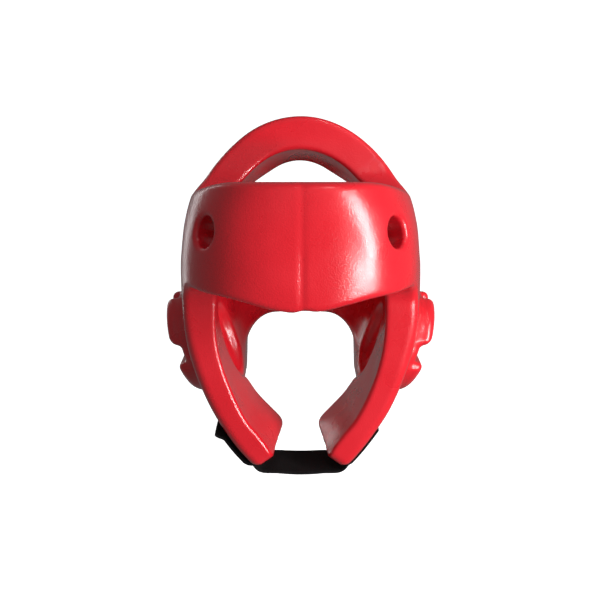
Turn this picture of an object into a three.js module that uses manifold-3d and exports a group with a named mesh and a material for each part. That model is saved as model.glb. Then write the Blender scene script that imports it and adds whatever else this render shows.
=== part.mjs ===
// Taekwondo headgear: a one-piece foam shell dipped in vinyl, with a webbing chin strap.
// Millimetres, +Z up, the face looks along -Y. The headgear is described in a head frame whose height 0 is
// the middle of the brow's lower rim, and the group at the end moves it so that the origin is the crown seat,
// the point of the arch's underside that rests on the top of the head.

import * as THREE from "three";
import { mergeVertices } from "three/addons/utils/BufferGeometryUtils.js";
import Module from "manifold-3d";

const wasm = await Module();
wasm.setup();

// Shell: overall size
const HEIGHT = 289; // tips of the cheek flaps to the top of the arch
const HALF_WIDTH = 98; // middle to the outside of the temple
const FRONT_REACH = 119; // middle to the outside of the brow
const REAR_REACH = 121; // middle to the outside of the back of the head
const WIDEST_Y = 10; // the head is widest a little behind its middle
const BROW_HEIGHT = 91; // lower rim to top edge of the forehead pad
const FLAP_DROP = 154; // brow's lower rim to the tips of the cheek flaps
const WALL = 25; // foam thickness
const RIM_RADIUS = 8; // outer edge of every rim
const INNER_RIM_RADIUS = 5; // inner edge of every rim
const MESH_STEP = 9.9; // spacing of the shell's vertices

// Crown arch, part of an ellipsoid
const ARCH_HALF_WIDTH = 97; // sideways half axis
const ARCH_HALF_LENGTH = 160; // fore and aft half axis
const ARCH_BASE = 10; // height of the ellipsoid's middle
const ARCH_RISE = HEIGHT - FLAP_DROP - ARCH_BASE; // upward half axis
const ARCH_MIDDLE_Y = -20; // the ellipsoid's middle lies forward, so the arch slopes down to the rear
const ARCH_WALL = 27; // foam thickness
const ARCH_FRONT_Y = 4; // front face of the arch at its top
const ARCH_REAR_Y = 50; // rear face of the arch at its top
const ARCH_SPREAD = 20; // the legs' front faces reach this far forward of the top's
const ARCH_FILLET = 22; // outline corner between arch and pads

// Outline of the pads
const REAR_TOP = 50; // top edge of the rear pad
const REAR_BOTTOM = -112; // lower edge of the rear pad, beside the nape
const JAW_SHARE = 0.55; // run of the edge that joins it to the flaps, as a share of a flap's width
const JAW_SLOPE = 8.8; // four times the slope of that edge
const FLAP_FRONT_Y = -62; // front edge of the cheek flaps
const FLAP_WIDTH = 50; // fore and aft width of a flap's tip
const FLAP_TIP_X = 40; // the tip's lowest point, from the middle
const FLAP_TIP_TILT = 38; // the tip is cut at this angle to the level, in degrees
const TIP_WALL = 31.5; // foam thickness of the flaps' tips
const TIP_WALL_TOP = -106; // it begins at this height
const TIP_WALL_Z = -132; // and is full from here down
const BROW_ARCHING = 9; // the brow's rim is this much higher beside the eyes than in the middle
const FACE_CORNER = 16; // outline corner between brow and flap
const NAPE_HALF_WIDTH = 52; // notch over the neck
const NAPE_TOP = -57;
const NAPE_CORNER = 26;

// Crease down the middle of the forehead pad
const CREASE_DEPTH = 2.2;
const CREASE_WIDTH = 5;

// Vent holes
const VENT_RADIUS = 12;
const VENT_SIDES = 20;
const FRONT_VENT = { y: -89, z: 54 };
const SIDE_VENT = { y: -30, z: 35 };

// Ear boss: a round pad parted by two channels into four lobes round the hearing hole
const EAR_Y = 14;
const EAR_Z = -62;
const BOSS_RADIUS = 44;
const BOSS_PROUD = 18; // lobes over the shell
const CHANNEL_DEPTH = 8;
const CHANNEL_WIDTH = 15;
const BOSS_ROUND = 6; // rounding of the lobes' edges
const BOSS_SIDES = 32;
const LOBE_SIDES = 20;
const LOBE_POWER = 7; // higher makes the lobes' corners tighter
const HEARING_RADIUS = 12;
const POCKET_HEIGHT = 62; // hollow for the ear, on the inside
const POCKET_WIDTH = 46;
const POCKET_DEPTH = 9;
const POCKET_ROUND = 5;

// Chin strap and its fastenings
const GAP = 0.5; // between pieces that touch
const STRAP_WIDTH = 40;
const STRAP_Y = FLAP_FRONT_Y + RIM_RADIUS + STRAP_WIDTH / 2; // it lies just behind the flap's front rim
const STRAP_THICK = 2;
const STRAP_TOP = 37; // each end reaches this far above the flap tips
const STRAP_STEPS = 60;
const STRAP_SPANS = 4; // facets across its width
const RIVET_SHARE = 0.91; // shares of half the strap's way: its right end is at 1 and its left one at -1
const PATCH_START_SHARE = -0.9;
const PATCH_END_SHARE = -0.63;
const RISE_START_SHARE = -0.6; // from here on the strap comes down off the touch fastener
const RISE_END_SHARE = -0.5;
const TAB_LIFT = 4; // how far the free end stands off
const PATCH_THICK = 1.1;
const PATCH_STACK = 2 * (PATCH_THICK + GAP) + GAP;
const PATCH_MARGIN = 3; // patch edge to strap edge
const PATCH_STEPS = 8;
const RIVET_HEAD_RADIUS = 5;
const RIVET_HEAD_THICK = 1.6;
const RIVET_SHANK_RADIUS = 2;
const RIVET_LENGTH = 12;
const RIVET_SIDES = 16;

// Horizontal sections of the band and flaps. Level is a share of BROW_HEIGHT above the rim and of FLAP_DROP
// below it, width of HALF_WIDTH, front of FRONT_REACH and rear of REAR_REACH. Power is the superellipse's
// exponent in the front half. The rear half has its own.
const REAR_POWER = 2.4;
const SECTIONS = [
  { level: -1.3, width: 0.12, front: 0.85, rear: 0.5, power: 4 },
  { level: -1.1, width: 0.25, front: 0.92, rear: 0.6, power: 4 },
  { level: -0.97, width: 0.41, front: 0.96, rear: 0.68, power: 4 },
  { level: -0.89, width: 0.515, front: 0.98, rear: 0.73, power: 4 },
  { level: -0.775, width: 0.64, front: 1.0, rear: 0.78, power: 4 },
  { level: -0.66, width: 0.745, front: 1.0, rear: 0.83, power: 4 },
  { level: -0.53, width: 0.835, front: 1.0, rear: 0.88, power: 3.9 },
  { level: -0.37, width: 0.92, front: 1.0, rear: 0.94, power: 3.6 },
  { level: -0.18, width: 0.99, front: 1.0, rear: 0.98, power: 3 },
  { level: 0, width: 1.01, front: 1.0, rear: 1.0, power: 2.7 },
  { level: 0.3, width: 1.0, front: 0.995, rear: 0.995, power: 2.7 },
  { level: 0.56, width: 0.965, front: 0.98, rear: 0.965, power: 2.7 },
  { level: 0.8, width: 0.9, front: 0.95, rear: 0.91, power: 2.6 },
  { level: 1, width: 0.81, front: 0.9, rear: 0.85, power: 2.5 },
  { level: 1.3, width: 0.62, front: 0.76, rear: 0.72, power: 2.5 },
];

// Upper edge of the pads, seen from the side. Reach is a share of FRONT_REACH, height of BROW_HEIGHT.
const TOP_EDGE = [
  { reach: -1.1, height: 1.0 },
  { reach: -0.9, height: 1.0 },
  { reach: -0.74, height: 0.985 },
  { reach: -0.5, height: 0.91 },
  { reach: -0.2, height: 0.81 },
];

// A smooth curve through two columns of a table
function curveOf(rows, at, value) {
  const curve = new THREE.CubicInterpolant(rows.map(at), rows.map(value), 1);
  return (t) => curve.evaluate(t)[0];
}

const levelHeight = (level) => level * (level > 0 ? BROW_HEIGHT : FLAP_DROP);
const sectionHeight = (row) => levelHeight(row.level);
const widthAt = curveOf(SECTIONS, sectionHeight, (row) => row.width * HALF_WIDTH);
const frontAt = curveOf(SECTIONS, sectionHeight, (row) => row.front * FRONT_REACH);
const rearAt = curveOf(SECTIONS, sectionHeight, (row) => row.rear * REAR_REACH);
const powerAt = curveOf(SECTIONS, sectionHeight, (row) => row.power);
const frontTopAt = curveOf(
  TOP_EDGE,
  (row) => row.reach * FRONT_REACH,
  (row) => row.height * BROW_HEIGHT,
);

const ramp = (from, to, t) => THREE.MathUtils.smoothstep(t, from, to);

// The greater of two signed distances, with a round corner, and the lesser
const roundMax = (a, b, radius) =>
  Math.min(-radius, Math.max(a, b)) + Math.hypot(Math.max(a + radius, 0), Math.max(b + radius, 0));
const roundMin = (a, b, radius) => -roundMax(-a, -b, radius);

// How far out a point lies, as a share of the superellipse's reach that way at its height
function sectionShare(x, y, z) {
  const along = y - WIDEST_Y;
  const power = along < 0 ? powerAt(z) : REAR_POWER;
  const reach = along < 0 ? frontAt(z) + WIDEST_Y : rearAt(z) - WIDEST_Y;
  return ((Math.abs(x) / widthAt(z)) ** power + (Math.abs(along) / reach) ** power) ** (1 / power);
}

// Level distance from the section's outline, below zero inside
function sectionGap(x, y, z) {
  return Math.hypot(x, y - WIDEST_Y) * (1 - 1 / sectionShare(x, y, z));
}

// Distance from the face that the sections make: the level distance over the face's slope at the foot point.
// Inside the core share the direction to the face is uncertain, and any value well below zero does.
const CORE_SHARE = 0.3;
function padDistance(x, y, z) {
  const share = sectionShare(x, y, z);
  if (share < CORE_SHARE) return -(1 - CORE_SHARE) * HALF_WIDTH;
  const h = 0.5;
  const u = x / share;
  const v = WIDEST_Y + (y - WIDEST_Y) / share;
  const slope = Math.hypot(
    sectionGap(u + h, v, z) - sectionGap(u - h, v, z),
    sectionGap(u, v + h, z) - sectionGap(u, v - h, z),
    sectionGap(u, v, z + h) - sectionGap(u, v, z - h),
  );
  return (sectionGap(x, y, z) * 2 * h) / slope;
}

// Distance from the arch's ellipsoid
function archDistance(x, y, z) {
  const u = x / ARCH_HALF_WIDTH;
  const v = (y - ARCH_MIDDLE_Y) / ARCH_HALF_LENGTH;
  const w = (z - ARCH_BASE) / ARCH_RISE;
  const share = Math.hypot(u, v, w);
  const slope = Math.hypot(u / ARCH_HALF_WIDTH, v / ARCH_HALF_LENGTH, w / ARCH_RISE);
  return slope < 1e-9 ? -ARCH_HALF_WIDTH : (share * (share - 1)) / slope;
}

// How far a point belongs to the arch rather than to the pads, from 0 to 1
const archShare = (y, z) =>
  ramp(0.55 * BROW_HEIGHT, 0.95 * BROW_HEIGHT, z) *
  ramp(ARCH_FRONT_Y - 1.7 * ARCH_FILLET, ARCH_FRONT_Y - 0.5 * ARCH_FILLET, y);

// Distance from the shell's outer face
function faceDistance(x, y, z) {
  const share = archShare(y, z);
  return THREE.MathUtils.lerp(padDistance(x, y, z), archDistance(x, y, z), share);
}

// The outline seen from the side: pads and arch, with filleted corners
function sideOutline(y, z) {
  const rearward = ramp(-0.2 * FRONT_REACH, ARCH_REAR_Y, y);
  const topEdge = THREE.MathUtils.lerp(frontTopAt(y), REAR_TOP, rearward);
  const legSpread = ARCH_SPREAD * (1 - ramp(0.7 * BROW_HEIGHT, 1.3 * BROW_HEIGHT, z));
  const arch = Math.max(ARCH_FRONT_Y - legSpread - y, y - ARCH_REAR_Y - 0.3 * legSpread);
  const upper = roundMin(z - topEdge, arch, ARCH_FILLET);
  const flapRear = FLAP_FRONT_Y + FLAP_WIDTH;
  const jaw = ramp(flapRear, flapRear + JAW_SHARE * FLAP_WIDTH, y);
  const bottomEdge = THREE.MathUtils.lerp(-FLAP_DROP, REAR_BOTTOM, jaw);
  const steepness = Math.hypot(1, JAW_SLOPE * jaw * (1 - jaw));
  return Math.max(upper, (bottomEdge - z) / steepness);
}

// The opening for the face, below zero inside
function faceOpening(x, y, z) {
  const browRim = BROW_ARCHING * ramp(0, 0.62 * HALF_WIDTH, Math.abs(x));
  return roundMax(z - browRim, y - FLAP_FRONT_Y, FACE_CORNER);
}

// The notch over the nape, below zero inside
function napeNotch(x, y, z) {
  const notch = roundMax(Math.abs(x) - NAPE_HALF_WIDTH, z - NAPE_TOP, NAPE_CORNER);
  return Math.max(notch, EAR_Y - y);
}

// The slanting cut of the flap tips, below zero above it
function tipCut(x, z) {
  const tilt = THREE.MathUtils.degToRad(FLAP_TIP_TILT);
  return (FLAP_TIP_X - Math.abs(x)) * Math.sin(tilt) - (z + FLAP_DROP) * Math.cos(tilt);
}

// The hollow for the ear on the inside of the shell, below zero inside
function earPocket(face, y, z) {
  const oval = Math.hypot((2 * (y - EAR_Y)) / POCKET_WIDTH, (2 * (z - EAR_Z)) / POCKET_HEIGHT) - 1;
  return roundMax((oval * POCKET_WIDTH) / 2, face + WALL - POCKET_DEPTH, POCKET_ROUND);
}

// Signed distance from the shell's skin, without its ear bosses and holes
function shellDistance(x, y, z) {
  const face = faceDistance(x, y, z);
  const sideWall = THREE.MathUtils.lerp(WALL, TIP_WALL, 1 - ramp(TIP_WALL_Z, TIP_WALL_TOP, z));
  const thick = THREE.MathUtils.lerp(sideWall, ARCH_WALL, archShare(y, z));
  const crease = y < 0 ? CREASE_DEPTH * Math.exp(-((x / CREASE_WIDTH) ** 2)) : 0;
  const opening = roundMax(-faceOpening(x, y, z), tipCut(x, z), RIM_RADIUS);
  const outline = roundMax(sideOutline(y, z), Math.max(opening, -napeNotch(x, y, z)), RIM_RADIUS);
  const outside = roundMax(face + crease, outline, RIM_RADIUS);
  const wall = roundMax(outside, -face - thick, INNER_RIM_RADIUS);
  return roundMax(wall, -earPocket(face, y, z), POCKET_ROUND);
}

// Direction in which a signed distance grows fastest
function slopeOf(field, p) {
  const h = 0.4;
  return new THREE.Vector3(
    field(p.x + h, p.y, p.z) - field(p.x - h, p.y, p.z),
    field(p.x, p.y + h, p.z) - field(p.x, p.y - h, p.z),
    field(p.x, p.y, p.z + h) - field(p.x, p.y, p.z - h),
  ).divideScalar(2 * h);
}

// Moves a point along the slope until its signed distance is the one asked for
function settle(field, p, distance, steps = 6) {
  for (let i = 0; i < steps; i++) {
    const slope = slopeOf(field, p);
    const miss = field(p.x, p.y, p.z) - distance;
    p.addScaledVector(slope, -miss / Math.max(slope.lengthSq(), 0.25));
  }
  return p;
}

// A closed mesh over the zero surface of a signed distance: each cell of a grid that the surface crosses
// holds one vertex, and each edge of the grid that it crosses joins the four cells round it.
function skinOf(field, box, step) {
  const count = box.getSize(new THREE.Vector3()).divideScalar(step).ceil();
  const corner = box.getCenter(new THREE.Vector3()).addScaledVector(count, -step / 2);
  const size = [count.x + 1, count.y + 1, count.z + 1];
  const stride = [1, size[0], size[0] * size[1]];
  const spot = (i, j, k) => new THREE.Vector3(i, j, k).multiplyScalar(step).add(corner);
  const value = new Float64Array(size[0] * size[1] * size[2]);
  const forEachNode = (visit, margin = 0) => {
    for (let k = 0; k < size[2] - margin; k++)
      for (let j = 0; j < size[1] - margin; j++)
        for (let i = 0; i < size[0] - margin; i++) visit([i, j, k], i + j * stride[1] + k * stride[2]);
  };
  forEachNode(([i, j, k], n) => {
    const p = spot(i, j, k);
    value[n] = field(p.x, p.y, p.z);
  });
  // A square of the grid with only two opposite corners inside would pinch the skin, so it is opened
  let pinched = true;
  while (pinched) {
    pinched = false;
    forEachNode((at, n) => {
      for (let axis = 0; axis < 3; axis++) {
        const a = stride[(axis + 1) % 3];
        const b = stride[(axis + 2) % 3];
        if (at[(axis + 1) % 3] > size[(axis + 1) % 3] - 2) continue;
        if (at[(axis + 2) % 3] > size[(axis + 2) % 3] - 2) continue;
        const inside = [n, n + a, n + b, n + a + b].map((m) => value[m] < 0);
        if (inside[0] !== inside[3] || inside[1] !== inside[2] || inside[0] === inside[1]) continue;
        const [first, second] = inside[0] ? [n, n + a + b] : [n + a, n + b];
        value[value[first] > value[second] ? first : second] = step / 4;
        pinched = true;
      }
    });
  }
  const points = [];
  const cellVertex = new Map();
  forEachNode(([i, j, k], n) => {
    const sum = new THREE.Vector3();
    let crossings = 0;
    for (let edge = 0; edge < 12; edge++) {
      const axis = edge >> 2;
      const side = [0, 0, 0];
      side[(axis + 1) % 3] = edge & 1;
      side[(axis + 2) % 3] = (edge >> 1) & 1;
      const from = n + side[0] + side[1] * stride[1] + side[2] * stride[2];
      const [a, b] = [value[from], value[from + stride[axis]]];
      if (a < 0 === b < 0) continue;
      const at = spot(i + side[0], j + side[1], k + side[2]);
      at.setComponent(axis, at.getComponent(axis) + (step * a) / (a - b));
      sum.add(at);
      crossings++;
    }
    if (crossings === 0) return;
    const start = sum.divideScalar(crossings);
    const settled = settle(field, start.clone(), 0, 3);
    settled.sub(start).clampLength(0, step / 4).add(start);
    cellVertex.set(n, points.length);
    points.push(settled);
  }, 1);
  const index = [];
  forEachNode(([i, j, k], n) => {
    for (let axis = 0; axis < 3; axis++) {
      if (value[n] < 0 === value[n + stride[axis]] < 0) continue;
      const a = stride[(axis + 1) % 3];
      const b = stride[(axis + 2) % 3];
      const ring = [n - a - b, n - b, n, n - a].map((cell) => cellVertex.get(cell));
      if (value[n] >= 0) ring.reverse();
      const [p, q, r, s] = ring;
      const straight = points[p].distanceTo(points[r]) < points[q].distanceTo(points[s]);
      index.push(...(straight ? [p, q, r, p, r, s] : [p, q, s, q, r, s]));
    }
  }, 1);
  return new THREE.BufferGeometry().setFromPoints(points).setIndex(index);
}

// A three.js geometry as a solid that can be joined and cut, and back
function solidOf(geometry) {
  const bare = geometry.clone().deleteAttribute("normal").deleteAttribute("uv");
  const merged = mergeVertices(bare, 1e-4);
  const vertProperties = new Float32Array(merged.attributes.position.array);
  const triVerts = new Uint32Array(merged.index.array);
  return new wasm.Manifold(new wasm.Mesh({ numProp: 3, vertProperties, triVerts }));
}

function geometryOf(solid) {
  const { vertProperties, triVerts } = solid.getMesh();
  const geometry = new THREE.BufferGeometry();
  geometry.setAttribute("position", new THREE.BufferAttribute(vertProperties, 3));
  return geometry.setIndex(new THREE.BufferAttribute(triVerts, 1));
}

// A closed body through rings of as many points each, its ends closed round their middles
function loftOf(rings) {
  const sides = rings[0].length;
  const points = rings.flat();
  const index = [];
  for (let ring = 0; ring < rings.length - 1; ring++)
    for (let i = 0; i < sides; i++) {
      const a = ring * sides + i;
      const b = ring * sides + ((i + 1) % sides);
      index.push(a, b, b + sides, a, b + sides, a + sides);
    }
  for (const [ring, turn] of [[0, 1], [rings.length - 1, 0]]) {
    const middle = rings[ring].reduce((sum, p) => sum.add(p), new THREE.Vector3()).divideScalar(sides);
    for (let i = 0; i < sides; i++) {
      const pair = [ring * sides + i, ring * sides + ((i + 1) % sides)];
      index.push(pair[turn], pair[1 - turn], points.length);
    }
    points.push(middle);
  }
  return new THREE.BufferGeometry().setFromPoints(points).setIndex(index);
}

// A body as a solid, turned right side out where its rings ran the other way round
function outwardSolid(geometry) {
  const solid = solidOf(geometry);
  if (solid.volume() > 0) return solid;
  const index = geometry.index.array;
  for (let i = 0; i < index.length; i += 3) [index[i], index[i + 1]] = [index[i + 1], index[i]];
  return solidOf(geometry);
}

// A round pin along a direction, centred on a point
function pin(radius, length, middle, direction, sides) {
  const turn = new THREE.Quaternion().setFromUnitVectors(new THREE.Vector3(0, 1, 0), direction);
  return new THREE.CylinderGeometry(radius, radius, length, sides)
    .applyQuaternion(turn)
    .translate(middle.x, middle.y, middle.z);
}

// The point beside y and z that stands so far off the shell's outer face
function offFace(side, y, z, height) {
  let x = widthAt(z) + height;
  for (let i = 0; i < 8; i++) {
    const slope = faceDistance(x + 0.5, y, z) - faceDistance(x - 0.5, y, z);
    x -= (faceDistance(x, y, z) - height) / Math.max(slope, 0.3);
  }
  return new THREE.Vector3(side * x, y, z);
}

// A pad on the shell's outer face: its rim is a reach round a middle, and its upper edge is rounded
function facePad(side, middle, reachAt, sides, height) {
  const levels = [
    { height: -WALL / 3, inset: 0 },
    { height: height - BOSS_ROUND, inset: 0 },
    { height: height - 0.3 * BOSS_ROUND, inset: 0.3 * BOSS_ROUND },
    { height, inset: BOSS_ROUND },
  ];
  const rings = levels.map((level) =>
    Array.from({ length: sides }, (_, i) => {
      const angle = (2 * Math.PI * (i + 0.5)) / sides;
      const reach = reachAt(angle) - level.inset;
      return offFace(
        side,
        middle.y + reach * Math.cos(angle),
        middle.z + reach * Math.sin(angle),
        level.height,
      );
    }),
  );
  return outwardSolid(loftOf(rings));
}

// Ear boss: a low disc, and on it four lobes that the channels part
function makeBoss(side) {
  const centre = { y: EAR_Y, z: EAR_Z };
  let boss = facePad(side, centre, () => BOSS_RADIUS, BOSS_SIDES, BOSS_PROUD - CHANNEL_DEPTH);
  const lobeRadius = BOSS_RADIUS - GAP;
  const offset = (lobeRadius / Math.SQRT2 + CHANNEL_WIDTH / 2) / 2;
  for (const [right, up] of [[1, 1], [-1, 1], [-1, -1], [1, -1]]) {
    // Soft least of the distances to the two channels and to the disc's rim
    const reachAt = (angle) => {
      const along = Math.cos(angle) * right;
      const rise = Math.sin(angle) * up;
      const halfChord = offset * (along + rise);
      const toRim = -halfChord + Math.sqrt(halfChord ** 2 + lobeRadius ** 2 - 2 * offset ** 2);
      const toUpright = (offset - CHANNEL_WIDTH / 2) / Math.max(-along, 1e-3);
      const toLevel = (offset - CHANNEL_WIDTH / 2) / Math.max(-rise, 1e-3);
      return (toRim ** -LOBE_POWER + toUpright ** -LOBE_POWER + toLevel ** -LOBE_POWER) ** (-1 / LOBE_POWER);
    };
    const middle = { y: EAR_Y + right * offset, z: EAR_Z + up * offset };
    boss = boss.add(facePad(side, middle, reachAt, LOBE_SIDES, BOSS_PROUD));
  }
  return boss;
}

// Shell with its ear bosses, its vents, two at each temple, and a hearing hole at each ear
function makeShell() {
  const box = new THREE.Box3(
    new THREE.Vector3(-HALF_WIDTH, -FRONT_REACH, -FLAP_DROP),
    new THREE.Vector3(HALF_WIDTH, REAR_REACH, ARCH_BASE + ARCH_RISE),
  ).expandByScalar(1.5 * MESH_STEP);
  let shell = solidOf(skinOf(shellDistance, box, MESH_STEP));
  for (const side of [-1, 1]) {
    shell = shell.add(makeBoss(side));
    for (const vent of [FRONT_VENT, SIDE_VENT]) {
      const middle = offFace(side, vent.y, vent.z, 0);
      const outward = slopeOf(faceDistance, middle).normalize();
      shell = shell.subtract(solidOf(pin(VENT_RADIUS, 3 * WALL, middle, outward, VENT_SIDES)));
    }
    const ear = new THREE.Vector3(side * HALF_WIDTH, EAR_Y, EAR_Z);
    const drill = pin(HEARING_RADIUS, 4 * WALL, ear, new THREE.Vector3(side, 0, 0), VENT_SIDES);
    shell = shell.subtract(solidOf(drill));
  }
  return shell;
}

// The way of the chin strap on one side, from under the chin to its end on the flap, at one place across it
function strapLine(side, y) {
  const onFace = (rise) => offFace(side, y, rise - FLAP_DROP, -1);
  return new THREE.CatmullRomCurve3([
    new THREE.Vector3(0, y, -FLAP_DROP),
    new THREE.Vector3(side * FLAP_TIP_X * 0.45, y, -FLAP_DROP),
    new THREE.Vector3(side * FLAP_TIP_X * 0.85, y, -FLAP_DROP),
    onFace(RIM_RADIUS),
    onFace((RIM_RADIUS + STRAP_TOP) / 2),
    onFace(STRAP_TOP),
  ]);
}

// A layer of webbing along the strap's way: a closed slab between two shares of the way, standing off the
// shell by a clearance that may change along it. A share is from -1 at the left end to 1 at the right one.
function webbing({ from, to, steps, width, thick, clearAt }) {
  const across = Array.from({ length: STRAP_SPANS + 1 }, (_, j) => STRAP_Y + width * (j / STRAP_SPANS - 0.5));
  const lines = across.map((y) => ({ left: strapLine(-1, y), right: strapLine(1, y) }));
  const under = Array.from({ length: steps + 1 }, (_, i) => {
    const share = from + ((to - from) * i) / steps;
    return lines.map((line) => {
      const half = share < 0 ? line.left : line.right;
      const p = half.getPointAt(Math.abs(share));
      if (shellDistance(p.x, p.y, p.z) < GAP) settle(shellDistance, p, GAP);
      return p.addScaledVector(slopeOf(shellDistance, p).normalize(), clearAt(share) - GAP);
    });
  });
  const rings = under.map((row, i) => {
    const before = under[Math.max(i - 1, 0)];
    const after = under[Math.min(i + 1, steps)];
    const over = row.map((p, j) => {
      const along = after[j].clone().sub(before[j]);
      const sideways = row[Math.min(j + 1, STRAP_SPANS)].clone().sub(row[Math.max(j - 1, 0)]);
      return sideways.cross(along).setLength(thick).add(p);
    });
    return [...row, ...over.reverse()];
  });
  return outwardSolid(loftOf(rings));
}

// How far the strap stands off the shell, where it lies on it: on the left it is over both halves of the
// touch fastener
function strapClear(share) {
  const stacked = 1 - ramp(RISE_START_SHARE, RISE_END_SHARE, share);
  const lifted = TAB_LIFT * (1 - ramp(-1, PATCH_START_SHARE, share));
  return THREE.MathUtils.lerp(GAP, PATCH_STACK, stacked) + lifted;
}

function makeStrap() {
  const size = { width: STRAP_WIDTH, thick: STRAP_THICK };
  const span = { from: -1, to: 1, steps: STRAP_STEPS };
  return webbing({ ...span, ...size, clearAt: strapClear });
}

// Half of the touch fastener, on the face or on the strap
function makePatch(clear) {
  const size = { width: STRAP_WIDTH - 2 * PATCH_MARGIN, thick: PATCH_THICK };
  const span = { from: PATCH_START_SHARE, to: PATCH_END_SHARE, steps: PATCH_STEPS };
  return webbing({ ...span, ...size, clearAt: () => clear });
}

// Turned profile of the rivet: shank from its foot up to a low domed head
function makeRivet() {
  const profile = [
    [0, -RIVET_LENGTH],
    [RIVET_SHANK_RADIUS, -RIVET_LENGTH],
    [RIVET_SHANK_RADIUS, GAP],
    [RIVET_HEAD_RADIUS, GAP],
    [RIVET_HEAD_RADIUS, GAP + RIVET_HEAD_THICK / 2],
    [RIVET_HEAD_RADIUS * 0.7, GAP + RIVET_HEAD_THICK],
    [0, GAP + RIVET_HEAD_THICK],
  ].map(([radius, height]) => new THREE.Vector2(radius, height));
  return new THREE.LatheGeometry(profile, RIVET_SIDES);
}

// A mesh under its name, in its material
function pieceOf(name, geometry, material) {
  const mesh = new THREE.Mesh(geometry, material);
  mesh.name = name;
  return mesh;
}

const vinyl = new THREE.MeshStandardMaterial({ color: 0xc4141f, roughness: 0.28, metalness: 0 });
const elastic = new THREE.MeshStandardMaterial({ color: 0x151517, roughness: 0.9, metalness: 0 });
const plush = new THREE.MeshStandardMaterial({ color: 0x1b1b1d, roughness: 1, metalness: 0 });
const nylon = new THREE.MeshStandardMaterial({ color: 0x121213, roughness: 0.75, metalness: 0 });
const steel = new THREE.MeshStandardMaterial({ color: 0x8d8780, roughness: 0.35, metalness: 1 });

// The rivet goes through the strap's right end, square to the face
const rivetFoot = strapLine(1, STRAP_Y).getPointAt(RIVET_SHARE);
const rivetWay = slopeOf(shellDistance, rivetFoot).normalize();
settle(shellDistance, rivetFoot, GAP + STRAP_THICK);
const rivetTurn = new THREE.Quaternion().setFromUnitVectors(new THREE.Vector3(0, 1, 0), rivetWay);
const rivetHole = solidOf(
  pin(RIVET_SHANK_RADIUS + GAP, 2 * (RIVET_LENGTH + GAP), rivetFoot, rivetWay, RIVET_SIDES),
);

const headgear = new THREE.Group();
headgear.add(
  pieceOf("shell", geometryOf(makeShell().subtract(rivetHole)), vinyl),
  pieceOf("chin_strap", geometryOf(makeStrap().subtract(rivetHole)), elastic),
  pieceOf("loop_patch", geometryOf(makePatch(GAP)), plush),
  pieceOf("hook_patch", geometryOf(makePatch(GAP + PATCH_THICK + GAP)), nylon),
);
const rivet = pieceOf("strap_rivet", makeRivet(), steel);
rivet.position.copy(rivetFoot);
rivet.quaternion.copy(rivetTurn);
headgear.add(rivet);

// The crown seat becomes the origin
const seat = new THREE.Vector3(0, (ARCH_FRONT_Y + ARCH_REAR_Y) / 2, ARCH_BASE + ARCH_RISE);
settle(archDistance, seat, -ARCH_WALL);
headgear.position.set(0, -seat.y, -seat.z);

export default headgear;
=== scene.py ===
"""Taekwondo headgear: a foam shell dipped in red vinyl, with a black elastic chin strap."""
import bpy
import numpy as np
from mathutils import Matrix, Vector


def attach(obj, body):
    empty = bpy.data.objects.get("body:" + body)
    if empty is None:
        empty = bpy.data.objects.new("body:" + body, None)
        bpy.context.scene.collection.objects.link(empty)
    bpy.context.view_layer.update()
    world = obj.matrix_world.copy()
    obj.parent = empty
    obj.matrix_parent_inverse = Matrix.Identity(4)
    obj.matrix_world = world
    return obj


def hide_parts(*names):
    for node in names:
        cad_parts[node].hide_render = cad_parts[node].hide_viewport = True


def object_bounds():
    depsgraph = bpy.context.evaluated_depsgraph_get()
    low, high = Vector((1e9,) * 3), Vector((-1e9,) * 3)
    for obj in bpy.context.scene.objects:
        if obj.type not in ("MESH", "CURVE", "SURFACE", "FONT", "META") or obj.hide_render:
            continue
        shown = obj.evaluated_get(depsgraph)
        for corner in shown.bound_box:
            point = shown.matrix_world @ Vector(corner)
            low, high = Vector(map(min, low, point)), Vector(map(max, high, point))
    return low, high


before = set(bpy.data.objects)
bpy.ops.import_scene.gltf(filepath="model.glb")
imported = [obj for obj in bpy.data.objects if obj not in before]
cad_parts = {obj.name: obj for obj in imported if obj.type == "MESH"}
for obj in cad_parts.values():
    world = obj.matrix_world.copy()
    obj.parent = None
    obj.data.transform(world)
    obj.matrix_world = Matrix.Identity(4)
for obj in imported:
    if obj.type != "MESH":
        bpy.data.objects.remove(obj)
cad_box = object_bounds()

# The foam shell
# One piece of closed-cell foam, moulded in the shape of a head with a forehead pad, a crown arch, a rear pad
# and two cheek flaps, then dipped in liquid vinyl, which leaves every rim round and a glossy, pebbled skin.

# Its sizes are in metres in a head frame, whose height 0 is the middle of the brow's lower rim. Y runs
# rearward.
HALF_WIDTH = 0.098
FRONT_REACH = 0.119
REAR_REACH = 0.121
WIDEST_Y = 0.010
BROW_HEIGHT = 0.091
FLAP_DROP = 0.154
WALL = 0.025
BAND_RIM = 0.0045  # rounding of the outer edges on the forehead and the arch
FLAP_RIM = 0.008
FLAP_RIM_Z = -0.06  # the one rounding turns to the other between these heights
BAND_RIM_Z = -0.01
INNER_RIM = 0.004
ARCH_AXES = (0.097, 0.160, 0.125)
ARCH_MIDDLE = (0.0, -0.020, 0.010)
ARCH_WALL = 0.027
ARCH_FRONT_Y = 0.004
ARCH_REAR_Y = 0.050
ARCH_SPREAD = 0.020  # how much wider it gets at its foot, to the front
REAR_SPREAD = 0.3  # and to the rear, as a share of that
SPREAD_FULL = 0.7  # the spread is full at this share of BROW_HEIGHT
SPREAD_GONE = 1.3  # and gone at this one
ARCH_FILLET = 0.022
ARCH_BEGINS = 0.55  # the face turns from the pads' to the arch's between these shares of BROW_HEIGHT
ARCH_RULES = 0.95
ARCH_LEAD = 1.7  # and between these shares of ARCH_FILLET before the arch's front
ARCH_TRAIL = 0.5
REAR_TOP = 0.050
REAR_BOTTOM = -0.112
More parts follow.
